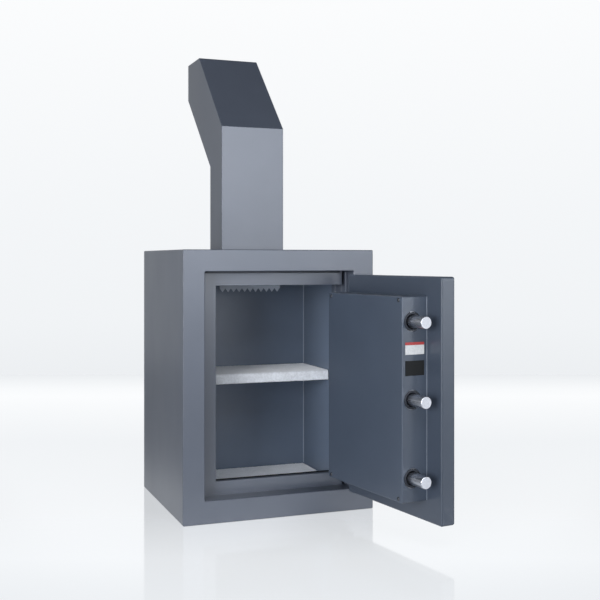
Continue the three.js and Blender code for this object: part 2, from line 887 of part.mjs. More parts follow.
function boltBar() {
  const bottom = boltHeights.lower - barOverhang;
  const top = boltHeights.upper + barOverhang;
  const bar = doorBlock(barHinge, barFree, boltAxis - barSheet / 2, boltAxis + barSheet / 2, bottom, top);
  const v0 = boltAxis - armSheet / 2;
  const v1 = boltAxis + armSheet / 2;
  const armFree = barHinge + overcut;
  const parts = [bar];
  const slots = [];
  for (const side of [-1, 1]) {
    const z = handleHeight + side * armOffset;
    parts.push(doorBlock(armHinge, armFree, v0, v1, z - armHeight / 2, z + armHeight / 2));
    slots.push(doorBlock(
      studU - studSlotHalf, studU + studSlotHalf + boltThrow, v0 - overcut, v1 + overcut,
      z - studSlotHalf, z + studSlotHalf,
    ));
  }
  parts.push(doorBlock(armHinge, armHinge + hornWidth, v0, v1, hornTop - hornHeight - overcut, hornTop));
  const slotU = lockU + crankOffset;
  const slotTop = handleHeight - crankOffset + slotHalf;
  const slotBottom = handleHeight - crankRadius - slotHalf;
  const tabStart = slotU - slotHalf - armEndWall / 2;
  parts.push(doorBlock(tabStart, armFree, v0, v1, slotBottom - armEndWall, slotTop + armEndWall));
  slots.push(doorBlock(slotU - slotHalf, slotU + slotHalf, v0 - overcut, v1 + overcut, slotBottom, slotTop));
  return cut(join(...parts), ...slots);
}

// A strip on the back plate with the two headed studs that the slots of the bolt bar slide on
function carriageGuide() {
  const armOuter = boltAxis - armSheet / 2 - seat;
  const armInner = boltAxis + armSheet / 2 + seat;
  const reach = armOffset + studHeadRadius;
  const strip = doorBlock(
    studU - studHeadRadius, studU + studHeadRadius, onBackPlate, onBackPlate + studStripSheet,
    handleHeight - reach, handleHeight + reach,
  );
  const studs = [-1, 1].map((side) => turnedV([
    [0, onBackPlate + overcut],
    [studShoulderRadius, onBackPlate + overcut],
    [studShoulderRadius, armOuter],
    [studRadius, armOuter],
    [studRadius, armInner],
    [studHeadRadius, armInner],
    [studHeadRadius, armInner + studHeadSheet],
    [0, armInner + studHeadSheet],
  ], studU, handleHeight + side * armOffset));
  return join(strip, ...studs);
}

function fixedBar() {
  const u1 = coverHinge - seat;
  const u0 = hingeOutset + coverHingeClearance;
  const v1 = slabInner + fixedBarStandoff;
  const z0 = coverBottom + fixedBarInset;
  const z1 = coverTop - fixedBarInset;
  const head = doorBlock(u0, u1, v1, v1 + fixedBarSheet, z0, z1);
  const foot = doorBlock(u1 - fixedBarFoot, u1, onBackPlate, v1 + overcut, z0, z1);
  return join(head, foot);
}

// Handle with its spindle and cam. The crank pin runs in the slot of the bolt bar.

function leverHandle() {
  const front = hubBase - hubLength;
  const hub = turnedV([
    [0, front],
    [hubRadius - hubChamfer, front],
    [hubRadius, front + hubChamfer],
    [hubRadius, hubBase],
    [0, hubBase],
  ], lockU, handleHeight);
  const half = leverHeight / 2;
  const endHalf = leverEndHeight / 2;
  const endU = lockU + leverReach - endHalf;
  const shape = new THREE.Shape();
  shape.moveTo(-lockU, handleHeight - half);
  shape.lineTo(-lockU, handleHeight + half);
  shape.lineTo(-endU, handleHeight + endHalf);
  shape.absarc(-endU, handleHeight, endHalf, Math.PI / 2, Math.PI * 1.5);
  const lever = plateXZ(shape, front + overcut, front + overcut + leverSheet, leverEdgeRadius);
  const bore = cylinderV(spindleRadius + seat, front + hubCap, hubBase + overcut, lockU, handleHeight);
  return cut(join(hub, lever), bore);
}

function handleSpindle() {
  const start = hubBase - hubLength + hubCap + seat;
  return cylinderV(spindleRadius, start, camInner + spindleTail, lockU, handleHeight);
}

function driveCam() {
  const camOuter = camInner - camSheet;
  const disc = cylinderV(camRadius, camOuter, camInner, lockU, handleHeight, 32);
  const pinU = lockU + crankOffset;
  const pinZ = handleHeight - crankOffset;
  const pin = cylinderV(crankPinRadius, camInner - overcut, boltAxis + armSheet, pinU, pinZ);
  const bore = cylinderV(spindleRadius + seat, camOuter - overcut, camInner + overcut, lockU, handleHeight);
  return cut(join(disc, pin), bore);
}

function rosette() {
  const v1 = slabOuter - seat;
  return turnedV([
    [spindleBore, v1 - rosetteSheet],
    [rosetteRadius - rosetteSheet / 2, v1 - rosetteSheet],
    [rosetteRadius, v1 - rosetteSheet / 2],
    [rosetteRadius, v1],
    [spindleBore, v1],
    [spindleBore, v1 - rosetteSheet],
  ], lockU, handleHeight, 32);
}

function spindleBush() {
  return turnedV([
    [spindleBore, onBackPlate],
    [bushRadius, onBackPlate],
    [bushRadius, onBackPlate + bushLength],
    [spindleBore, onBackPlate + bushLength],
    [spindleBore, onBackPlate],
  ], lockU, handleHeight);
}

// Combination dial and lock

function dialRing() {
  const v1 = slabOuter - seat;
  const inner = dialRadius + dialRingGap;
  const outer = inner + dialRingWidth;
  return turnedV([
    [inner, v1 - dialSheet],
    [outer - dialRingChamfer, v1 - dialSheet],
    [outer, v1 - dialSheet + dialRingChamfer],
    [outer, v1],
    [inner, v1],
    [inner, v1 - dialSheet],
  ], lockU, dialZ, 36);
}

function combinationDial() {
  const v1 = dialInner;
  const disc = turnedV([
    [0, v1 - dialSheet],
    [dialRadius - dialBevelWidth, v1 - dialSheet],
    [dialRadius, v1 - dialSheet + dialBevelHeight],
    [dialRadius, v1],
    [0, v1],
  ], lockU, dialZ, 40);
  const knobOuter = v1 - dialSheet - dialKnobLength;
  const knob = turnedV([
    [0, knobOuter],
    [dialKnobRadius - dialKnobChamfer, knobOuter],
    [dialKnobRadius, knobOuter + dialKnobChamfer],
    [dialKnobRadius, v1 - overcut],
    [0, v1 - overcut],
  ], lockU, dialZ);
  const boreStart = v1 - dialSheet - dialSpindleGrip;
  const bore = cylinderV(dialSpindleRadius + seat, boreStart, v1 + overcut, lockU, dialZ);
  return cut(join(disc, knob), bore);
}

function dialSpindle() {
  const start = dialInner - dialSheet - dialSpindleGrip + seat;
  return cylinderV(dialSpindleRadius, start, lockBoreEnd - lockEndPlay, lockU, dialZ);
}

function lockMount() {
  const plate = doorBlock(
    lockU - lockWidth / 2 - lockMountMargin, lockU + lockWidth / 2 + lockMountMargin,
    onBackPlate, onBackPlate + lockMountSheet, lockBottom, lockBottom + lockHeight + lockMountMargin,
  );
  const holeEnd = onBackPlate + lockMountSheet + overcut;
  return cut(plate, cylinderV(lockMountHoleRadius, onBackPlate - overcut, holeEnd, lockU, dialZ));
}

function lockBoltBlock(clearance) {
  const half = lockBoltWidth / 2 + clearance;
  const v0 = boltAxis - lockBoltSheet / 2 - clearance;
  const v1 = boltAxis + lockBoltSheet / 2 + clearance;
  const tip = hornTop + lockArmGap;
  return doorBlock(lockU - half, lockU + half, v0, v1, tip, tip + lockBoltLength + clearance);
}

function lockBody() {
  const half = lockWidth / 2;
  const body = doorBlock(
    lockU - half, lockU + half, lockOuter, lockOuter + lockSheet, lockBottom, lockBottom + lockHeight,
  );
  const bore = cylinderV(dialSpindleBore, lockOuter - overcut, lockBoreEnd, lockU, dialZ);
  return cut(body, bore, lockBoltBlock(seat));
}

// The assembly

place(safe, 'outer_wrap', outerWrap(), 'paint');
place(safe, 'back_panel', backPanel(), 'paint');
place(safe, 'front_frame', frontFrame(), 'paint');
place(safe, 'reveal_liner', revealLiner(), 'paint');
place(safe, 'stop_frame', stopFrame(), 'paint');
place(safe, 'hinge_pocket', hingePocket(), 'paint');
place(safe, 'keeper_strip', keeperStrip(), 'paint');
place(safe, 'inner_liner', innerLiner(), 'innerPaint');
place(safe, 'insulation_fill', insulationFill(), 'insulation');
place(safe, 'gooseneck_duct', gooseneckDuct(), 'paint');
place(safe, 'anti_fish_strip', antiFishStrip(), 'paint');
place(safe, 'shelf_board', shelfBoard(), 'board');
place(safe, 'shelf_carpet', shelfCarpet(), 'carpet');
place(safe, 'shelf_bracket_left', shelfBracket(-1), 'innerPaint');
place(safe, 'shelf_bracket_right', shelfBracket(1), 'innerPaint');
place(safe, 'floor_carpet', floorCarpet(), 'carpet');
for (const [name, height] of Object.entries(hingeHeights)) {
  place(safe, `frame_hinge_leaf_${name}`, frameLeaf(height), 'paint');
  place(safe, `hinge_pin_${name}`, hingePin(height), 'steel');
  place(safe, `hinge_washer_${name}`, hingeWasherRing(height), 'brass');
  place(door, `door_hinge_leaf_${name}`, doorLeaf(height), 'paint');
}

place(door, 'door_skin', doorSkin(), 'doorPaint');
place(door, 'door_fill', doorFill(), 'insulation');
place(door, 'door_back_plate', doorBackPlate(), 'doorPaint');
place(door, 'hard_plate', hardPlate(), 'steel');
place(door, 'bolt_cover', boltCover(), 'doorPaint');
postPlaces().forEach(([u, z], i) => {
  place(door, `cover_post_${i + 1}`, coverPost(u, z), 'steel');
  place(door, `cover_screw_${i + 1}`, coverScrew(u, z), 'steel');
});
place(door, 'label_upper', label(labelTop, upperLabelHeight), 'labelWhite');
const lowerLabelTop = labelTop - upperLabelHeight - labelSpacing;
place(door, 'label_lower', label(lowerLabelTop, lowerLabelHeight), 'labelBlack');
place(door, 'bolt_guide_plate', boltGuidePlate(), 'steel');
place(door, 'carriage_guide', carriageGuide(), 'steel');
place(door, 'fixed_bar', fixedBar(), 'steel');
place(door, 'handle_rosette', rosette(), 'chrome');
place(door, 'spindle_bush', spindleBush(), 'brass');
place(door, 'dial_ring', dialRing(), 'chrome');
place(door, 'lock_mount', lockMount(), 'steel');
place(door, 'lock_body', lockBody(), 'brass');

place(door, 'bolt_bar', boltBar(), 'steel');
for (const [name, height] of Object.entries(boltHeights)) {
  place(door, `bolt_${name}`, roundBolt(height), 'zinc');
  place(door, `bolt_bushing_${name}`, boltBushing(height), 'innerPaint');
}

place(door, 'lever_handle', leverHandle(), 'chrome');
place(door, 'handle_spindle', handleSpindle(), 'steel');
place(door, 'drive_cam', driveCam(), 'steel');

place(door, 'combination_dial', combinationDial(), 'dialBlack');
place(door, 'dial_spindle', dialSpindle(), 'steel');

place(door, 'lock_bolt', lockBoltBlock(0), 'brass');

export default safe;
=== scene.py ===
"""The looks of the gooseneck deposit safe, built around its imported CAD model. Metres, +Z up."""
import json
import math
import random

import bmesh
import bpy
from mathutils import Matrix, Vector


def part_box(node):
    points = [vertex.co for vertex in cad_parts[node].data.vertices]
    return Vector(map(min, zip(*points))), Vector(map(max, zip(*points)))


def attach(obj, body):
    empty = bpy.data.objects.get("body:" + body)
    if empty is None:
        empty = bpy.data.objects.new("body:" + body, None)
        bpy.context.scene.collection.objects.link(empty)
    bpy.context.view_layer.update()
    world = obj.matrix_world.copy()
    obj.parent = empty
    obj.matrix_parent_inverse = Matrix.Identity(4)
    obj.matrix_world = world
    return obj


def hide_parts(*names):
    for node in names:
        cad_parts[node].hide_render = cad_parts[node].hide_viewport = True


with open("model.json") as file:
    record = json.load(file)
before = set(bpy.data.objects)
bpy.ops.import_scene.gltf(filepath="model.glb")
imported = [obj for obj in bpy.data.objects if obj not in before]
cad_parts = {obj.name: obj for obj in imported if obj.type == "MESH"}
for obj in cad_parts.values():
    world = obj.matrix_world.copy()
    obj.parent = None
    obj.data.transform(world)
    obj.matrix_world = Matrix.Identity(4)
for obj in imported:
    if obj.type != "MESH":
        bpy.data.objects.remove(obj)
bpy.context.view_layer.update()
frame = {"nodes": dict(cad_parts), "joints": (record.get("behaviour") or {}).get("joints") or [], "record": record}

MM = 0.001
RECORD = frame["record"]
JOINTS = {joint["name"]: joint for joint in frame["joints"]}
SLOT_OF = {part["node"]: part["material_slot"] for part in RECORD["subparts"]}
BODY_OF = {node: body for body, members in RECORD["behaviour"]["bodies"].items() for node in members}

# The door's own directions at rest: U towards its free edge, V from its outside into the safe
HINGE = Vector(JOINTS["door_swing"]["pos_m"]) * Vector((1, 1, 0))
U = Vector(JOINTS["bolt_throw"]["axis"]).normalized()
V = Vector(JOINTS["handle_turn"]["axis"]).normalized()
Z = Vector((0, 0, 1))
DOOR = Matrix((
    (U.x, V.x, Z.x, HINGE.x),
    (U.y, V.y, Z.y, HINGE.y),
    (U.z, V.z, Z.z, HINGE.z),
    (0, 0, 0, 1),
))


# Camera: level, looking a little to the right, from the left of the door opening
CAMERA_PLACE = (-0.8640, -2.6254, 0.6595)
CAMERA_YAW = math.radians(20.90)
SENSOR_MM = 36
LENS_MM = 59.57
VIEW_LIMIT = 60
# The horizon lies 39.95 of the picture's 600 pixels above its middle
PICTURE_SHIFT = -39.95 / 600


def add_camera():
    data = bpy.data.cameras.new("photo_camera")
    data.sensor_width = SENSOR_MM
    data.lens = LENS_MM
    data.shift_y = PICTURE_SHIFT
    data.clip_end = VIEW_LIMIT
    camera = bpy.data.objects.new("photo_camera", data)
    camera.location = CAMERA_PLACE
    camera.rotation_euler = (math.radians(90), 0, -CAMERA_YAW)
    bpy.context.scene.collection.objects.link(camera)
    bpy.context.scene.camera = camera


# Stage and light

def node_tree(owner):
    owner.use_nodes = True
    owner.node_tree.nodes.clear()
    return owner.node_tree


def link(tree, *pairs):
    for source, target in pairs:
        tree.links.new(source, target)


def calculate(tree, operation, *values):
    """The result of a maths node that is fed by other nodes."""
    node = tree.nodes.new("ShaderNodeMath")
    node.operation = operation
    for value, socket in zip(values, node.inputs):
        link(tree, (value, socket))
    return node.outputs[0]


def seen_rays(tree, photographed):
    """How much a ray sees of the white background.

    The camera sees all of it, and mirrors and glass see what was photographed of it.
    """
    path = tree.nodes.new("ShaderNodeLightPath")
    seen = calculate(tree, "MAXIMUM", path.outputs["Is Glossy Ray"], path.outputs["Is Transmission Ray"])
    amount = calculate(tree, "MULTIPLY", seen, photographed)
    return calculate(tree, "MAXIMUM", path.outputs["Is Camera Ray"], amount)


def add_ramp(tree, value, low, high, stops):
    """A colour ramp over low..high. The stops hold (value, grey level, blue tint)."""
    ramp = tree.nodes.new("ShaderNodeValToRGB")
    elements = ramp.color_ramp.elements
    elements.remove(elements[1])
    for index, (position, level, tint) in enumerate(stops):
        place = (position - low) / (high - low)
        element = elements.new(place) if index else elements[0]
        element.position = place
        element.color = (level * (1 - tint), level * (1 - tint * 0.5), level, 1)
    link(tree, (spread(tree, value, low, high, 0, 1), ramp.inputs["Fac"]))
    return ramp.outputs["Color"]


# Height of a ray (-1 down to 1 up), level and blue tint of the light, and of the backdrop with its dark ceiling
WORLD_LIGHT = [(-1, 0.18, 0.10), (0.0, 0.22, 0.10), (0.35, 0.16, 0.10), (0.8, 0.08, 0.10), (1, 0.06, 0.10)]
WORLD_SEEN = [
    (-1, 0.86, 0.06), (-0.116, 0.885, 0.05), (-0.06, 0.92, 0.045), (0.05, 0.94, 0.04), (0.25, 0.985, 0.02),
    (0.45, 0.55, 0.04), (0.85, 0.08, 0.08),
]
# The cosines between which a ray comes to meet the photographed backdrop, and the share mirrored beside it
BACKDROP_EDGE = (0.86, 0.94)
BESIDE_BACKDROP = 0.40


def add_world():
    world = bpy.data.worlds.new("studio")
    bpy.context.scene.world = world
    tree = node_tree(world)
    coords = tree.nodes.new("ShaderNodeTexCoord")
    split = tree.nodes.new("ShaderNodeSeparateXYZ")
    facing = tree.nodes.new("ShaderNodeVectorMath")
    facing.operation = "DOT_PRODUCT"
    facing.inputs[1].default_value = (math.sin(CAMERA_YAW), math.cos(CAMERA_YAW), 0)
    link(
        tree,
        (coords.outputs["Generated"], split.inputs[0]),
        (coords.outputs["Generated"], facing.inputs[0]),
    )
    light = tree.nodes.new("ShaderNodeBackground")
    seen = tree.nodes.new("ShaderNodeBackground")
    light_colour = add_ramp(tree, split.outputs["Z"], -1, 1, WORLD_LIGHT)
    seen_colour = add_ramp(tree, split.outputs["Z"], -1, 1, WORLD_SEEN)
    photographed = spread(tree, facing.outputs["Value"], *BACKDROP_EDGE, BESIDE_BACKDROP, 1)
    mix = tree.nodes.new("ShaderNodeMixShader")
    out = tree.nodes.new("ShaderNodeOutputWorld")
    link(
        tree,
        (light_colour, light.inputs["Color"]),
        (seen_colour, seen.inputs["Color"]),
        (seen_rays(tree, photographed), mix.inputs["Fac"]),
        (light.outputs[0], mix.inputs[1]),
        (seen.outputs[0], mix.inputs[2]),
        (mix.outputs[0], out.inputs["Surface"]),
    )


# Name, place, aim, width, height, watts, colour, and whether it lights matt surfaces too
LAMPS = [
    ("left_softbox", (-3.3, -3.1, 0.9), (0, -0.2, 0.4), 2.2, 1.5, 150, (0.95, 0.97, 1.0), True),
    ("top_softbox", (-0.4, -2.9, 2.6), (0, 0, 0.5), 3.0, 1.4, 52, (0.96, 0.98, 1.0), True),
    ("front_panel", (0.8, -4.6, 1.6), (0.8, 0, 1.6), 4.2, 2.4, 231, (0.89, 0.93, 1.0), False),
    ("side_panel", (4.5, -4.6, 1.3), (4.5, 0, 1.3), 1.5, 2.4, 90, (0.91, 0.95, 1.0), False),
]


def add_lights():
    for name, location, target, width, height, power, colour, matt in LAMPS:
        data = bpy.data.lights.new(name, "AREA")
        data.shape = "RECTANGLE"
        data.size = width
        data.size_y = height
        data.energy = power
        data.color = colour
        lamp = bpy.data.objects.new(name, data)
        lamp.location = location
        lamp.rotation_euler = (Vector(target) - Vector(location)).to_track_quat("-Z", "Y").to_euler()
        lamp.visible_diffuse = matt
        lamp.visible_camera = False
        bpy.context.scene.collection.objects.link(lamp)


# Distance in front of the camera's foot, level and blue tint of the white floor's glow: painted light, uneven
# along the distance, with a painted bright band before its end
FLOOR_SEEN = [
    (1.9, 0.83, 0.06), (2.2, 0.91, 0.05), (2.7, 0.87, 0.05), (3.6, 0.87, 0.055), (4.8, 1.0, 0.02),
    (5.1, 0.97, 0.03), (5.72, 0.82, 0.06),
]
FLOOR_START = FLOOR_SEEN[0][0]
FLOOR_END = FLOOR_SEEN[-1][0]
FLOOR_REACH = 12
FLOOR_COLOUR = (0.80, 0.81, 0.83, 1)
FLOOR_ROUGHNESS = 0.07
FLOOR_GLOW = 1.225
FLOOR_GLOW_SHARE = 0.80
# The distances over which the photographed floor and its polish begin, and the shares before and after them
FLOOR_BEGINS = (1.5, 1.9, 0.25, 1)
POLISH_BEGINS = (1.8, 2.6, 0.03, 0.36)
# The slopes to either side between which the photographed floor ends
FLOOR_ENDS_ASIDE = (0.17, 0.25, 1, 0)


def add_floor():
    """A white, glossy floor that ends in front of the backdrop."""
    mesh = bpy.data.meshes.new("floor")
    corners = [
        (-FLOOR_REACH, -FLOOR_REACH, 0), (FLOOR_REACH, -FLOOR_REACH, 0),
        (FLOOR_REACH, FLOOR_END, 0), (-FLOOR_REACH, FLOOR_END, 0),
    ]
    mesh.from_pydata(corners, [], [(0, 1, 2, 3)])
    floor = bpy.data.objects.new("floor", mesh)
    floor.location = (CAMERA_PLACE[0], CAMERA_PLACE[1], 0)
    floor.rotation_euler = (0, 0, -CAMERA_YAW)
    bpy.context.scene.collection.objects.link(floor)
    material = bpy.data.materials.new("floor")
    tree = node_tree(material)
    coords = tree.nodes.new("ShaderNodeTexCoord")
    split = tree.nodes.new("ShaderNodeSeparateXYZ")
    matt = tree.nodes.new("ShaderNodeBsdfDiffuse")
    matt.inputs["Color"].default_value = FLOOR_COLOUR
    gloss = tree.nodes.new("ShaderNodeBsdfGlossy")
    gloss.inputs["Color"].default_value = (1, 1, 1, 1)
    gloss.inputs["Roughness"].default_value = FLOOR_ROUGHNESS
    glow = tree.nodes.new("ShaderNodeEmission")
    glow.inputs["Strength"].default_value = FLOOR_GLOW
    lit = tree.nodes.new("ShaderNodeMixShader")
    mirror = tree.nodes.new("ShaderNodeMixShader")
    out = tree.nodes.new("ShaderNodeOutputMaterial")
    link(tree, (coords.outputs["Object"], split.inputs[0]))
    distance = split.outputs["Y"]
    aside = calculate(tree, "ABSOLUTE", calculate(tree, "DIVIDE", split.outputs["X"], distance))
    begun = spread(tree, distance, *FLOOR_BEGINS)
    photographed = calculate(tree, "MULTIPLY", begun, spread(tree, aside, *FLOOR_ENDS_ASIDE))
    # The glow's colour is painted light along the floor, from FLOOR_SEEN.
    link(
        tree,
        (add_ramp(tree, distance, FLOOR_START, FLOOR_END, FLOOR_SEEN), glow.inputs["Color"]),
        (spread(tree, seen_rays(tree, photographed), 0, 1, 0, FLOOR_GLOW_SHARE), lit.inputs["Fac"]),
        (matt.outputs[0], lit.inputs[1]),
        (glow.outputs[0], lit.inputs[2]),
        (spread(tree, distance, *POLISH_BEGINS), mirror.inputs["Fac"]),
        (lit.outputs[0], mirror.inputs[1]),
        (gloss.outputs[0], mirror.inputs[2]),
        (mirror.outputs[0], out.inputs["Surface"]),
    )
    mesh.materials.append(material)


# Materials

def new_material(name, colour, roughness, metallic=0.0):
    material = bpy.data.materials.new(name)
    tree = node_tree(material)
    shader = tree.nodes.new("ShaderNodeBsdfPrincipled")
    shader.inputs["Base Color"].default_value = (*colour, 1)
    shader.inputs["Roughness"].default_value = roughness
    shader.inputs["Metallic"].default_value = metallic
    out = tree.nodes.new("ShaderNodeOutputMaterial")
    coords = tree.nodes.new("ShaderNodeTexCoord")
    link(tree, (shader.outputs[0], out.inputs["Surface"]))
    return material, tree, shader, coords.outputs["Object"]


def add_noise(tree, coords, scale, detail=3.0, roughness=0.5, stretch=None):
    if stretch:
        mapping = tree.nodes.new("ShaderNodeMapping")
        mapping.inputs["Scale"].default_value = stretch
        link(tree, (coords, mapping.inputs["Vector"]))
        coords = mapping.outputs["Vector"]
    noise = tree.nodes.new("ShaderNodeTexNoise")
    noise.inputs["Scale"].default_value = scale
    noise.inputs["Detail"].default_value = detail
    noise.inputs["Roughness"].default_value = roughness
    link(tree, (coords, noise.inputs["Vector"]))
    return noise.outputs["Fac"]


def spread(tree, value, low, high, out_low, out_high):
    """Maps low..high of a texture to out_low..out_high."""
    node = tree.nodes.new("ShaderNodeMapRange")
    node.inputs["From Min"].default_value = low
    node.inputs["From Max"].default_value = high
    node.inputs["To Min"].default_value = out_low
    node.inputs["To Max"].default_value = out_high
    link(tree, (value, node.inputs["Value"]))
    return node.outputs["Result"]


def blend_colours(tree, factor, first, second):
    mix = tree.nodes.new("ShaderNodeMix")
    mix.data_type = "RGBA"
    mix.inputs[6].default_value = (*first, 1)
    mix.inputs[7].default_value = (*second, 1)
    link(tree, (factor, mix.inputs[0]))
    return mix.outputs[2]


def add_bump(tree, shader, heights):
    """Chains bumps, each (texture, strength, distance in metres), onto a shader."""
    previous = None
    for height, strength, distance in heights:
        bump = tree.nodes.new("ShaderNodeBump")
        bump.inputs["Strength"].default_value = strength
        bump.inputs["Distance"].default_value = distance
        link(tree, (height, bump.inputs["Height"]))
        if previous:
            link(tree, (previous, bump.inputs["Normal"]))
        previous = bump.outputs["Normal"]
    link(tree, (previous, shader.inputs["Normal"]))


def scaled(colour, factor):
    return tuple(channel * factor for channel in colour)


# Most of a noise texture's values lie between these
NOISE_RANGE = (0.3, 0.7)


def satin_paint(name, colour, roughness):
    """Powder-coated steel: faint clouds of colour and sheen over a fine orange peel."""
    material, tree, shader, coords = new_material(name, colour, roughness)
    clouds = add_noise(tree, coords, scale=9, detail=4, roughness=0.55)
    smears = add_noise(tree, coords, scale=6, detail=2, stretch=(1, 1, 0.5))
    peel = add_noise(tree, coords, scale=620, detail=2)
    grain = add_noise(tree, coords, scale=1900, detail=2)
    share = spread(tree, clouds, *NOISE_RANGE, 0, 1)
    tint = blend_colours(tree, share, scaled(colour, 0.96), scaled(colour, 1.04))
    sheen = spread(tree, smears, *NOISE_RANGE, roughness - 0.025, roughness + 0.025)
    link(tree, (tint, shader.inputs["Base Color"]), (sheen, shader.inputs["Roughness"]))
    add_bump(tree, shader, [(peel, 0.08, 0.0001), (grain, 0.06, 0.0001)])
    return material


def plain_metal(name, colour, roughness, streak=(1, 1, 40), relief=0.15):
    """Machined or plated metal with fine streaks across the given direction."""
    material, tree, shader, coords = new_material(name, colour, roughness, 1.0)
    lines = add_noise(tree, coords, scale=30, detail=3, roughness=0.6, stretch=streak)
    spots = add_noise(tree, coords, scale=60, detail=4, roughness=0.6)
    tint = blend_colours(tree, spread(tree, spots, *NOISE_RANGE, 0, 1), scaled(colour, 0.9), colour)
    gloss = spread(tree, lines, *NOISE_RANGE, roughness - 0.06, roughness + 0.08)
    link(tree, (tint, shader.inputs["Base Color"]), (gloss, shader.inputs["Roughness"]))
    add_bump(tree, shader, [(lines, relief, 0.00015)])
    return material


def carpet_material(name, colour):
    """Short needle-felt pile: tufts, fine fibres and a soft sheen."""
    material, tree, shader, coords = new_material(name, colour, 0.95)
    tufts = add_noise(tree, coords, scale=160, detail=4, roughness=0.65)
    fibres = add_noise(tree, coords, scale=900, detail=3, roughness=0.7)
    patches = add_noise(tree, coords, scale=22, detail=3, roughness=0.6)
    share = spread(tree, calculate(tree, "ADD", tufts, patches), 0.7, 1.3, 0, 1)
    tint = blend_colours(tree, share, scaled(colour, 0.80), scaled(colour, 1.15))
    link(tree, (tint, shader.inputs["Base Color"]))
    shader.inputs["Sheen Weight"].default_value = 1.0
    shader.inputs["Sheen Roughness"].default_value = 0.5
    shader.inputs["Specular IOR Level"].default_value = 0.1
    add_bump(tree, shader, [(tufts, 0.5, 0.0012), (fibres, 0.45, 0.0005)])
    return material


def rough_material(name, colour, roughness, scale, depth, specular=0.5):
    """Cast, pressed or printed stuff with an even grain."""
    material, tree, shader, coords = new_material(name, colour, roughness)
    shader.inputs["Specular IOR Level"].default_value = specular
    grain = add_noise(tree, coords, scale, detail=5, roughness=0.65)
    share = spread(tree, grain, *NOISE_RANGE, 0, 1)
    tint = blend_colours(tree, share, scaled(colour, 0.85), scaled(colour, 1.1))
    link(tree, (tint, shader.inputs["Base Color"]))
    add_bump(tree, shader, [(grain, 0.4, depth)])
    return material


def make_materials():
    return {
        "body_paint": satin_paint("body_paint", (0.073, 0.086, 0.115), 0.31),
        # The interior's paint is made lighter than the body's, in part painted light that stands in for light
        # inside the compartment.
        "interior_paint": satin_paint("interior_paint", (0.135, 0.172, 0.236), 0.36),
        # The door's paint is the body's made darker and bluer: painted shade on the open door's inner side.
        "door_paint": satin_paint("door_paint", (0.060, 0.077, 0.108), 0.31),
        # The back plate's paint is the door's made darker: painted shade from the cover and bolts.
        "plate_painted_shade": satin_paint("plate_painted_shade", (0.050, 0.064, 0.090), 0.33),
        "insulation": rough_material("insulation", (0.42, 0.41, 0.38), 0.95, 90, 0.001),
        "board": rough_material("board", (0.34, 0.26, 0.17), 0.85, 140, 0.0004),
        "carpet": carpet_material("carpet", (0.82, 0.85, 0.90)),
        "steel": plain_metal("steel", (0.42, 0.43, 0.46), 0.38),
        "bright_zinc": plain_metal("bright_zinc", (0.72, 0.74, 0.78), 0.24, (1, 1, 6)),
        "bolt_steel": plain_metal("bolt_steel", (0.48, 0.50, 0.55), 0.28, (0.3, 0.3, 6), 0.03),
        # Pale matt paint for the painted highlight on the bolts' end faces.
        "bolt_end": rough_material("bolt_end", (0.66, 0.68, 0.74), 0.42, 260, 0.0001),
        "chrome": plain_metal("chrome", (0.78, 0.79, 0.82), 0.12, (1, 1, 3)),
        "brass": plain_metal("brass", (0.62, 0.47, 0.22), 0.34),
        "dial_black": rough_material("dial_black", (0.012, 0.012, 0.014), 0.32, 300, 0.0001),
        "label_white": rough_material("label_white", (0.68, 0.69, 0.70), 0.6, 220, 0.00005),
        "label_black": rough_material("label_black", (0.010, 0.011, 0.012), 0.7, 220, 0.00005, 0.15),
        "label_red": rough_material("label_red", (0.42, 0.030, 0.028), 0.6, 220, 0.00005),
        "bushing": rough_material("bushing", (0.020, 0.024, 0.033), 0.6, 300, 0.00005, 0.3),
        "screw": plain_metal("screw", (0.10, 0.105, 0.115), 0.42),
        # Near-black paint for the painted shade behind the sill.
        "sill_shade_black": rough_material("sill_shade_black", (0.014, 0.015, 0.017), 0.8, 420, 0.0001, 0.2),
        # Pale paint for the painted highlight along the boltwork cover's foot.
        "foot_highlight_paint": satin_paint("foot_highlight_paint", (0.22, 0.25, 0.30), 0.34),
        # The anti-fish strip's own light grey, also used for the painted highlight in the compartment's corner.
        "strip_grey_and_corner_highlight": satin_paint("strip_grey_and_corner_highlight", (0.44, 0.49, 0.57), 0.36),
        # Dark paint for the painted shadow under the doorway's top.
        "painted_shadow_dark": satin_paint("painted_shadow_dark", (0.026, 0.031, 0.044), 0.5),
        "dial_marks": rough_material("dial_marks", (0.80, 0.80, 0.80), 0.5, 300, 0.00005),
    }


# Mesh helpers

def finish_piece(name, mesh, material, body, sharp=30):
    """Links a mesh as a piece that rides on a body, smooth except at sharp edges."""
    mesh.validate()
    mesh.shade_smooth()
    mesh.set_sharp_from_angle(angle=math.radians(sharp))
    mesh.materials.clear()
    mesh.materials.append(material)
    piece = bpy.data.objects.new(name, mesh)
    bpy.context.scene.collection.objects.link(piece)
    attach(piece, body)
    return piece


def to_mesh(bm, name):
    """Turns a bmesh into a mesh and frees it."""
    mesh = bpy.data.meshes.new(name)
    bm.to_mesh(mesh)
    bm.free()
    return mesh


def bevel(bm, edges, width, segments):
    bmesh.ops.bevel(
        bm, geom=edges, offset=width, offset_type="OFFSET", segments=segments, profile=0.5,
        affect="EDGES", clamp_overlap=True,
    )


def clean_copy(node):
    """A bmesh of a CAD node with its shared corners joined and its flat faces merged into convex ones."""
    bm = bmesh.new()
    bm.from_mesh(frame["nodes"][node].data)
    bmesh.ops.remove_doubles(bm, verts=bm.verts, dist=2e-6)
    bmesh.ops.dissolve_limit(
        bm, angle_limit=math.radians(0.5), verts=bm.verts, edges=bm.edges, use_dissolve_boundaries=False,
    )
    bmesh.ops.connect_verts_concave(bm, faces=bm.faces)
    return bm


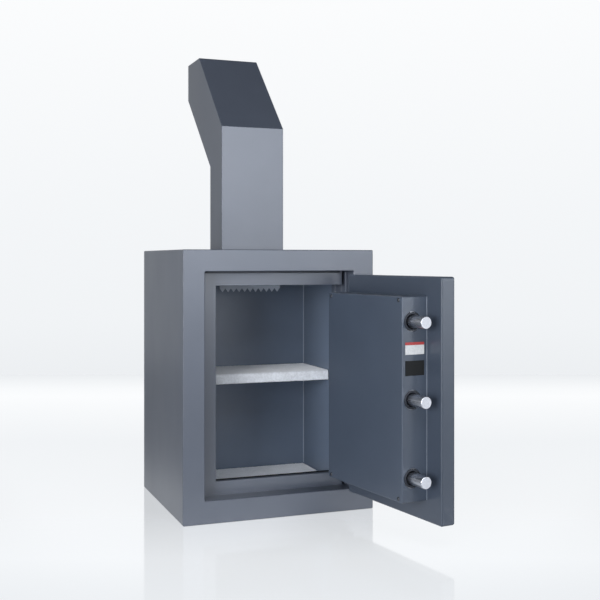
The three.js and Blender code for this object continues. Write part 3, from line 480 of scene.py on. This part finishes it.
def round_edges(bm, width, segments, least=35.0):
    """Rounds every edge that bends by more than the least angle."""
    sharp = [
        edge for edge in bm.edges
        if len(edge.link_faces) == 2 and math.degrees(edge.calc_face_angle(0)) > least
    ]
    bevel(bm, sharp, width, segments)


def weigh_normals(piece):
    """Keeps broad faces flat in shading beside their rounded edges."""
    modifier = piece.modifiers.new("flat_faces", "WEIGHTED_NORMAL")
    modifier.mode = "FACE_AREA"
    modifier.weight = 100
    modifier.keep_sharp = True


def dress(node, materials, width=0.8 * MM, segments=2, material=None, least=35.0):
    """Replaces a CAD node by the same shape with rounded edges."""
    bm = clean_copy(node)
    round_edges(bm, width, segments, least)
    mesh = to_mesh(bm, node + "_finish")
    slot = SLOT_OF[node]
    piece = finish_piece(node + "_finish", mesh, materials[material or slot], BODY_OF[node], 40)
    weigh_normals(piece)
    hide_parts(node)
    return piece


def local_box(node):
    """The lowest and highest corners of a door node in u, v and z."""
    inverse = DOOR.inverted()
    points = [inverse @ vertex.co for vertex in frame["nodes"][node].data.vertices]
    low = Vector([min(point[i] for point in points) for i in range(3)])
    high = Vector([max(point[i] for point in points) for i in range(3)])
    return low, high


def lathe_mesh(name, profile, steps=64):
    """A surface turned round the Z axis. The profile holds (radius, height) pairs."""
    vertices = []
    rings = []
    for radius, height in profile:
        if radius < 1e-9:
            rings.append([len(vertices)])
            vertices.append((0, 0, height))
            continue
        rings.append([len(vertices) + i for i in range(steps)])
        for i in range(steps):
            angle = 2 * math.pi * i / steps
            vertices.append((radius * math.cos(angle), radius * math.sin(angle), height))
    faces = []
    for lower, upper in zip(rings, rings[1:]):
        for i in range(steps):
            j = (i + 1) % steps
            if len(lower) == 1 and len(upper) > 1:
                faces.append((lower[0], upper[j], upper[i]))
            elif len(upper) == 1 and len(lower) > 1:
                faces.append((lower[i], lower[j], upper[0]))
            elif len(lower) > 1:
                faces.append((lower[i], lower[j], upper[j], upper[i]))
    mesh = bpy.data.meshes.new(name)
    mesh.from_pydata(vertices, [], faces)
    return mesh


def closed(profile):
    """Closes a profile that doesn't touch the axis, for a ring."""
    return profile + [profile[0]]


def rounding(start, corner, end, steps):
    """Points on a curve from start to end that a corner pulls outwards."""
    points = []
    for i in range(steps + 1):
        t = i / steps
        points.append(start * (1 - t) ** 2 + corner * 2 * t * (1 - t) + end * t ** 2)
    return points


def rounded_profile(profile, radius, steps=3):
    """Rounds the inner corners of an open profile by the given radius."""
    points = [Vector(point) for point in profile]
    result = [tuple(points[0])]
    for before, corner, after in zip(points, points[1:], points[2:]):
        to_before = before - corner
        to_after = after - corner
        reach = min(radius, to_before.length / 2.2, to_after.length / 2.2)
        start = corner + to_before.normalized() * reach
        end = corner + to_after.normalized() * reach
        result += [tuple(point) for point in rounding(start, corner, end, steps)]
    result.append(tuple(points[-1]))
    return result


def along(direction, origin):
    """A matrix that stands the Z axis of a mesh along a direction, at an origin."""
    turn = direction.to_track_quat("Z", "Y").to_matrix().to_4x4()
    return Matrix.Translation(origin) @ turn


def on_outside(low, high):
    """The matrix that stands a turned piece on the outside of the door, over the middle of its box."""
    centre = (low + high) / 2
    return along(-V, DOOR @ Vector((centre.x, high.y, centre.z)))


def turned(name, profile, place, material, body, slot, steps=64, sharp=40):
    mesh = lathe_mesh(name, profile, steps)
    mesh.transform(place)
    return finish_piece(name, mesh, material, body, sharp)


def rounded_box(name, low, high, width, segments, place=None):
    bm = bmesh.new()
    bmesh.ops.create_cube(bm, size=1)
    size = high - low
    for vertex in bm.verts:
        vertex.co = Vector([(vertex.co[i] + 0.5) * size[i] + low[i] for i in range(3)])
    bevel(bm, list(bm.edges), width, segments)
    mesh = to_mesh(bm, name)
    if place:
        mesh.transform(place)
    return mesh


# Carpets

PILE_DEPTH = 0.7 * MM
CARPET_COLUMNS = 150
CARPET_STEP = 2.5 * MM


def ruffle(mesh, depth, seed):
    """Moves each point a little along its normal, so that the pile isn't flat."""
    source = random.Random(seed)
    normals = [vertex.normal.copy() for vertex in mesh.vertices]
    for vertex, normal in zip(mesh.vertices, normals):
        vertex.co += normal * source.uniform(-depth, 0)


def add_shelf_carpet(materials):
    low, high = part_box("shelf_carpet")
    board_low, board_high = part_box("shelf_board")
    gap = 0.15 * MM
    outline = []
    # Each corner's y, z and radius: round the outside of the carpet, then back along the board
    corners = [
        (high.y, high.z, 0), (low.y, high.z, 9 * MM), (low.y, low.z, 4 * MM), (high.y, low.z, 0),
        (high.y, board_low.z - gap, 0), (board_low.y - gap, board_low.z - gap, 1 * MM),
        (board_low.y - gap, board_high.z + gap, 1 * MM), (high.y, board_high.z + gap, 0),
    ]
    for index, (y, z, corner_radius) in enumerate(corners):
        corner = Vector((y, z))
        if not corner_radius:
            outline.append(corner)
            continue
        before = Vector(corners[index - 1][:2])
        after = Vector(corners[(index + 1) % len(corners)][:2])
        start = corner + (before - corner).normalized() * corner_radius
        end = corner + (after - corner).normalized() * corner_radius
        outline += rounding(start, corner, end, 5)
    dense = []
    for point, following in zip(outline, outline[1:] + outline[:1]):
        pieces = max(1, int((following - point).length / CARPET_STEP))
        for i in range(pieces):
            dense.append(point.lerp(following, i / pieces))
    vertices = []
    for i in range(CARPET_COLUMNS + 1):
        x = low.x + (high.x - low.x) * i / CARPET_COLUMNS
        vertices += [(x, point.x, point.y) for point in dense]
    count = len(dense)
    faces = []
    for i in range(CARPET_COLUMNS):
        for j in range(count):
            k = (j + 1) % count
            faces.append((i * count + j, i * count + k, (i + 1) * count + k, (i + 1) * count + j))
    faces.append(tuple(range(count))[::-1])
    faces.append(tuple(range(CARPET_COLUMNS * count, (CARPET_COLUMNS + 1) * count)))
    mesh = bpy.data.meshes.new("shelf_carpet_pile")
    mesh.from_pydata(vertices, [], faces)
    bm = bmesh.new()
    bm.from_mesh(mesh)
    bmesh.ops.recalc_face_normals(bm, faces=bm.faces)
    bm.to_mesh(mesh)
    bm.free()
    ruffle(mesh, PILE_DEPTH, 3)
    piece = finish_piece("shelf_carpet_pile", mesh, materials["carpet"], "body", 60)
    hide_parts("shelf_carpet")


def add_floor_carpet(materials):
    low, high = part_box("floor_carpet")
    mesh = rounded_box("floor_carpet_pile", low, high, 1.5 * MM, 2)
    bm = bmesh.new()
    bm.from_mesh(mesh)
    long_edges = [edge for edge in bm.edges if edge.calc_length() > 50 * MM]
    bmesh.ops.subdivide_edges(bm, edges=long_edges, cuts=120, use_grid_fill=True)
    bm.to_mesh(mesh)
    bm.free()
    ruffle(mesh, PILE_DEPTH, 5)
    piece = finish_piece("floor_carpet_pile", mesh, materials["carpet"], "body", 60)
    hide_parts("floor_carpet")


# Boltwork

BOLT_CHAMFER = 1.0 * MM
BOLT_FACE = 0.6 * MM
BUSHING_PLAY = 2.25 * MM
BUSHING_WALL = 2.1 * MM
FLANGE_SHEET = 1.4 * MM
SCREW_HEAD = 2.4 * MM
# Shares of the bolt end's radius at which its face is turned in rings
RING_SHARES = (0.8, 0.6, 0.4, 0.2)


def add_bolts(materials):
    """Chamfered steel bolts with a turned face at the end, made paler as a painted highlight."""
    for name in ("upper", "middle", "lower"):
        node = "bolt_" + name
        low, high = local_box(node)
        centre = (low + high) / 2
        radius = (high.z - low.z) / 2
        length = high.x - low.x
        shank = length - BOLT_FACE
        rim = radius - BOLT_CHAMFER
        place = along(U, DOOR @ Vector((low.x, centre.y, centre.z)))
        profile = rounded_profile([
            (0, 0), (radius, 0), (radius, shank - BOLT_CHAMFER), (rim, shank), (0, shank),
        ], 0.5 * MM)
        ride = ("bolt_carriage", "bright_zinc", 72)
        bolt = turned(node + "_finish", profile, place, materials["bolt_steel"], *ride)
        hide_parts(node)
        # The end face's paler, matt material is a painted highlight of the lamps on the turned face.
        profile = [(0, shank), (rim, shank), (rim, shank + BOLT_FACE / 2), (rim - BOLT_FACE / 2, length)]
        for step, share in enumerate(RING_SHARES):
            profile.append((rim * share, length - BOLT_FACE * 0.1 * (step % 2)))
        profile.append((0, length))
        turned(node + "_end", profile, place, materials["bolt_end"], *ride, sharp=20)
        add_bushing(name, materials)


def add_bushing(name, materials):
    node = "bolt_bushing_" + name
    low, high = local_box(node)
    bolt_low, bolt_high = local_box("bolt_" + name)
    bore = (bolt_high.z - bolt_low.z) / 2 + BUSHING_PLAY
    outer = bore + BUSHING_WALL
    flange = (high.z - low.z) / 2
    length = high.x - low.x
    profile = closed(rounded_profile([
        (bore, 0), (outer, 0), (outer, length - FLANGE_SHEET), (flange, length - FLANGE_SHEET),
        (flange, length), (bore, length), (bore, length / 2),
    ], 0.4 * MM))
    place = along(U, DOOR @ Vector((low.x, (low.y + high.y) / 2, (low.z + high.z) / 2)))
    piece = turned(node + "_finish", profile, place, materials["bushing"], "door", "steel", 64)
    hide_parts(node)


def add_screws(materials):
    """Pan-head screws, with a near-black cross of painted shade standing in for the recess."""
    for index in range(1, 5):
        node = f"cover_screw_{index}"
        low, high = local_box(node)
        centre = (low + high) / 2
        head = (high.x - low.x) / 2
        place = along(V, DOOR @ Vector((centre.x, high.y - SCREW_HEAD, centre.z)))
        profile = [(0, 0), (head, 0), (head, SCREW_HEAD * 0.35)]
        for step in range(1, 7):
            angle = math.radians(90 * step / 6)
            radius = head * math.cos(angle) if step < 6 else 0
            profile.append((radius, SCREW_HEAD * (0.35 + 0.65 * math.sin(angle))))
        mesh = lathe_mesh(node + "_head", profile, 32)
        mesh.transform(place)
        piece = finish_piece(node + "_finish", mesh, materials["screw"], "door", 50)
        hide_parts(node)
        # The recess isn't cut: a near-black cross on the head is painted shade.
        arms = bmesh.new()
        for length, width in ((head * 1.1, head * 0.24), (head * 0.24, head * 1.1)):
            size = (length, width, 0.5 * MM)
            made = bmesh.ops.create_cube(arms, size=1)["verts"]
            bmesh.ops.scale(arms, vec=size, verts=made)
            bmesh.ops.translate(arms, vec=(0, 0, SCREW_HEAD * 0.97), verts=made)
        cross = to_mesh(arms, node + "_cross")
        cross.transform(place)
        finish_piece(node + "_recess_shade", cross, materials["bushing"], "door")


# Labels: blank stickers

def add_labels(materials):
    for node, parts in (
        ("label_upper", (("label_white", 0.0, 0.77), ("label_red", 0.77, 1.0))),
        ("label_lower", (("label_black", 0.0, 1.0),)),
    ):
        low, high = local_box(node)
        for index, (material, start, end) in enumerate(parts):
            part_low = Vector((low.x, low.y, low.z + (high.z - low.z) * start))
            part_high = Vector((high.x, high.y, low.z + (high.z - low.z) * end))
            mesh = rounded_box(f"{node}_{index}", part_low, part_high, 0.1 * MM, 1, DOOR)
            piece = finish_piece(f"{node}_{material}", mesh, materials[material], "door")
            if index == 0:
                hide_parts(node)


# Strips of painted shade and painted highlight along edges and corners

def add_strip(name, low, high, material, body, place=None, width=0.3 * MM):
    mesh = rounded_box(name, Vector(low), Vector(high), width, 2, place)
    finish_piece(name, mesh, material, body)


def add_strips(materials):
    """Dark strips of painted shadow under the doorway's top and painted shade behind its sill, light strips of
    painted highlight in the compartment's back corner, and a painted highlight along the foot of the boltwork
    cover.
    """
    gap = 0.1 * MM
    stop_low, stop_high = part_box("stop_frame")
    recess_low, recess_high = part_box("reveal_liner")
    _, liner_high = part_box("inner_liner")
    cover_low, cover_high = local_box("bolt_cover")
    _, plate_high = local_box("door_back_plate")
    recess_sheet = 3 * MM
    recess_top = recess_high.z - recess_sheet
    recess_left = recess_low.x + recess_sheet
    stop_front = stop_low.y
    # A dark strip of painted shadow under the top of the recess, where the top rail shades the stop frame.
    add_strip(
        "top_painted_shadow", (recess_left + gap, stop_front - 4 * MM, recess_top - 5.5 * MM),
        (stop_high.x - 8 * MM, stop_front - gap, recess_top - gap),
        materials["painted_shadow_dark"], "body",
    )
    doorway = next(opening for opening in RECORD["physics"]["openings"] if opening["name"] == "doorway")
    (door_left, _, door_bottom), (door_right, _, _) = doorway["box_m"]
    sill = door_bottom - 2 * MM
    # A near-black strip of painted shade on the stop frame's sill return, where that face lies in shadow.
    add_strip(
        "sill_painted_shade", (door_left, stop_high.y - 14 * MM, sill + gap),
        (door_right, stop_high.y - 0.5 * MM, sill + 1 * MM),
        materials["sill_shade_black"], "body",
    )
    # Light strips of painted highlight down the compartment's back right corner, where its bend catches the light.
    highlight_width = 1.6 * MM
    sheet = 2 * MM
    shelf_low, shelf_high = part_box("shelf_carpet")
    _, carpet_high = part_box("floor_carpet")
    corner_x = liner_high.x - sheet - gap
    corner_y = liner_high.y - sheet - gap
    for name, bottom, top in (
        ("liner_corner_highlight_upper", shelf_high.z + 1 * MM, liner_high.z - sheet - gap),
        ("liner_corner_highlight_lower", carpet_high.z + 1 * MM, shelf_low.z - 1 * MM),
    ):
        add_strip(
            name, (corner_x - highlight_width, corner_y - highlight_width, bottom), (corner_x, corner_y, top),
            materials["strip_grey_and_corner_highlight"], "body",
        )
    # A pale strip of painted highlight along the foot of the boltwork cover's free wall, where it meets the plate.
    foot = 1.3 * MM
    add_strip(
        "cover_foot_highlight", (cover_high.x + gap, plate_high.y + gap, cover_low.z + 1 * MM),
        (cover_high.x + foot, plate_high.y + gap + foot, cover_high.z - 1 * MM),
        materials["foot_highlight_paint"], "door", DOOR,
    )


# Hinges

def add_hinges(materials):
    """The leaves as the CAD has them, smooth round their knuckles, and pins with rounded heads."""
    for level in ("upper", "lower"):
        for side, body in (("frame", "body"), ("door", "door")):
            node = f"{side}_hinge_leaf_{level}"
            mesh = to_mesh(clean_copy(node), node + "_finish")
            piece = finish_piece(node + "_finish", mesh, materials[SLOT_OF[node]], body, 32)
            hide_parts(node)
        node = f"hinge_pin_{level}"
        low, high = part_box(node)
        head = (high.x - low.x) / 2
        shank = 5 * MM
        length = high.z - low.z
        shoulder = length - 3 * MM
        profile = rounded_profile([
            (0, 0), (shank - 1 * MM, 0), (shank, 1 * MM), (shank, shoulder), (head, shoulder),
            (head, length - 1 * MM), (head - 1.5 * MM, length), (0, length),
        ], 0.5 * MM)
        place = Matrix.Translation(Vector((HINGE.x, HINGE.y, low.z)))
        piece = turned(node + "_finish", profile, place, materials["steel"], "body", "steel", 48)
        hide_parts(node)


# Dial and handle on the outside of the door

DIAL_SHEET = 8 * MM
DIAL_BEVEL = 8 * MM
COLLAR_TOP = DIAL_SHEET + 0.6 * MM
KNOB_RADIUS = 19 * MM
KNOB_FLUTES = 24
FLUTE_DEPTH = 1.3 * MM
HUNDREDTHS = 100
NUMBER_SIZE = 4.6 * MM
RING_WIDTH = 6 * MM


def add_dial(materials):
    low, high = local_box("combination_dial")
    radius = (high.x - low.x) / 2
    length = high.y - low.y
    collar = KNOB_RADIUS + 1.5 * MM
    place = on_outside(low, high)
    disc = rounded_profile([
        (0, 0), (radius, 0), (radius, DIAL_SHEET / 2), (radius - DIAL_BEVEL, DIAL_SHEET), (collar, DIAL_SHEET),
        (collar, COLLAR_TOP), (0, COLLAR_TOP),
    ], 0.5 * MM)
    piece = turned("dial_disc", disc, place, materials["dial_black"], "dial", "dial_black", 96)
    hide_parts("combination_dial")
    add_dial_knob(place, length, materials)
    add_dial_marks(place, radius, materials)
    add_dial_ring(materials)


def add_dial_knob(place, length, materials):
    """A fluted knob."""
    steps = KNOB_FLUTES * 8
    # Each level's height and share of the radius
    heights = [
        (COLLAR_TOP, 1.0), (COLLAR_TOP + 2 * MM, 1.0), (length - 3 * MM, 0.97), (length - 1 * MM, 0.93),
        (length, 0.86),
    ]
    vertices = []
    for height, factor in heights:
        for i in range(steps):
            angle = 2 * math.pi * i / steps
            groove = max(0.0, math.cos(KNOB_FLUTES * angle)) ** 2 * FLUTE_DEPTH
            r = KNOB_RADIUS * factor - groove
            vertices.append((r * math.cos(angle), r * math.sin(angle), height))
    faces = []
    for level in range(len(heights) - 1):
        for i in range(steps):
            j = (i + 1) % steps
            a = level * steps
            faces.append((a + i, a + j, a + steps + j, a + steps + i))
    vertices.append((0, 0, length))
    top = (len(heights) - 1) * steps
    faces += [(top + i, top + (i + 1) % steps, len(vertices) - 1) for i in range(steps)]
    faces.append(tuple(range(steps))[::-1])
    mesh = bpy.data.meshes.new("dial_knob")
    mesh.from_pydata(vertices, [], faces)
    mesh.transform(place)
    finish_piece("dial_knob", mesh, materials["chrome"], "dial", 40)


def add_dial_marks(place, radius, materials):
    """A hundred ticks on the bevel, with plain numbers at each ten."""
    slope = math.atan2(DIAL_SHEET / 2, DIAL_BEVEL)
    tilt = Matrix.Rotation(slope, 4, "Y")
    bm = bmesh.new()
    for i in range(HUNDREDTHS):
        long_mark = i % 10 == 0
        length = (3.4 if long_mark else 2.6 if i % 5 == 0 else 1.6) * MM
        width = 0.5 * MM if long_mark else 0.32 * MM
        made = bmesh.ops.create_cube(bm, size=1)["verts"]
        bmesh.ops.scale(bm, vec=(length, width, 0.25 * MM), verts=made)
        outer = radius - 0.6 * MM - length / 2 * math.cos(slope)
        height = DIAL_SHEET / 2 + (radius - outer) * math.tan(slope)
        turn = Matrix.Rotation(2 * math.pi * i / HUNDREDTHS, 4, "Z")
        bmesh.ops.transform(bm, matrix=turn @ Matrix.Translation((outer, 0, height)) @ tilt, verts=made)
    mesh = to_mesh(bm, "dial_ticks")
    mesh.transform(place)
    finish_piece("dial_ticks", mesh, materials["dial_marks"], "dial")
    for ten in range(10):
        curve = bpy.data.curves.new(f"dial_number_{ten}", "FONT")
        curve.body = str(ten * 10)
        curve.size = NUMBER_SIZE
        curve.align_x = "CENTER"
        curve.align_y = "CENTER"
        curve.extrude = 0.08 * MM
        curve.resolution_u = 3
        text = bpy.data.objects.new(f"dial_number_{ten}_text", curve)
        bpy.context.scene.collection.objects.link(text)
        bpy.context.view_layer.update()
        mesh = bpy.data.meshes.new_from_object(text)
        bpy.data.objects.remove(text)
        turn = Matrix.Rotation(-2 * math.pi * ten / 10, 4, "Z")
        where = turn @ Matrix.Translation((0, radius - 11.5 * MM, DIAL_SHEET + 0.1 * MM))
        mesh.transform(place @ Matrix.Rotation(math.radians(90), 4, "Z") @ where)
        finish_piece(f"dial_number_{ten}", mesh, materials["dial_marks"], "dial")


def add_dial_ring(materials):
    low, high = local_box("dial_ring")
    outer = (high.x - low.x) / 2
    inner = outer - RING_WIDTH
    height = high.y - low.y
    profile = closed(rounded_profile([
        (inner, height / 2), (inner, 0), (outer, 0), (outer, height - 2 * MM), (outer - 2 * MM, height),
        (inner, height), (inner, height * 0.6),
    ], 0.6 * MM))
    place = on_outside(low, high)
    piece = turned("dial_ring_finish", profile, place, materials["chrome"], "door", "chrome", 96)
    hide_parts("dial_ring")


def add_handle(materials):
    """A turned rosette under the lever."""
    low, high = local_box("handle_rosette")
    radius = (high.x - low.x) / 2
    height = high.y - low.y
    bore = 6.6 * MM
    profile = closed(rounded_profile([
        (bore, height / 2), (bore, 0), (radius, 0), (radius, height / 2), (radius - 3 * MM, height),
        (bore, height), (bore, height * 0.6),
    ], 0.8 * MM))
    place = on_outside(low, high)
    piece = turned("handle_rosette_finish", profile, place, materials["chrome"], "door", "chrome", 72)
    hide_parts("handle_rosette")
    dress("lever_handle", materials, 1.2 * MM, 3, least=30)


# What stays as the CAD has it, with its finish

def finish_rest(materials):
    """Gives every CAD node the material of its slot, whether it shows or is replaced."""
    for node, obj in frame["nodes"].items():
        obj.data.materials.clear()
        obj.data.materials.append(materials[SLOT_OF[node]])


# The width in millimetres by which each node's edges are rounded, and the least width that takes finer steps
EDGE_WIDTHS = {
    "outer_wrap": 0.4, "back_panel": 0.5, "front_frame": 2.2, "reveal_liner": 0.4, "stop_frame": 1.0,
    "hinge_pocket": 0.8, "keeper_strip": 0.8, "inner_liner": 0.6, "gooseneck_duct": 3.2,
    "anti_fish_strip": 0.3, "shelf_bracket_left": 0.4, "shelf_bracket_right": 0.4, "door_skin": 0.4,
    "door_back_plate": 0.8, "bolt_cover": 1.0, "bolt_guide_plate": 0.5, "fixed_bar": 1.0,
}
BROAD_EDGE = 1.5
# Nodes whose paint isn't that of their slot; the back plate's is painted shade
OTHER_PAINT = {"anti_fish_strip": "strip_grey_and_corner_highlight", "door_back_plate": "plate_painted_shade"}


def main():
    materials = make_materials()
    add_camera()
    add_world()
    add_lights()
    add_floor()
    finish_rest(materials)
    for node, width in EDGE_WIDTHS.items():
        dress(node, materials, width * MM, 4 if width > BROAD_EDGE else 2, OTHER_PAINT.get(node))
    add_shelf_carpet(materials)
    add_floor_carpet(materials)
    add_bolts(materials)
    add_screws(materials)
    add_labels(materials)
    add_strips(materials)
    add_hinges(materials)
    add_dial(materials)
    add_handle(materials)
    scene = bpy.context.scene
    scene.view_settings.view_transform = "Standard"


main()
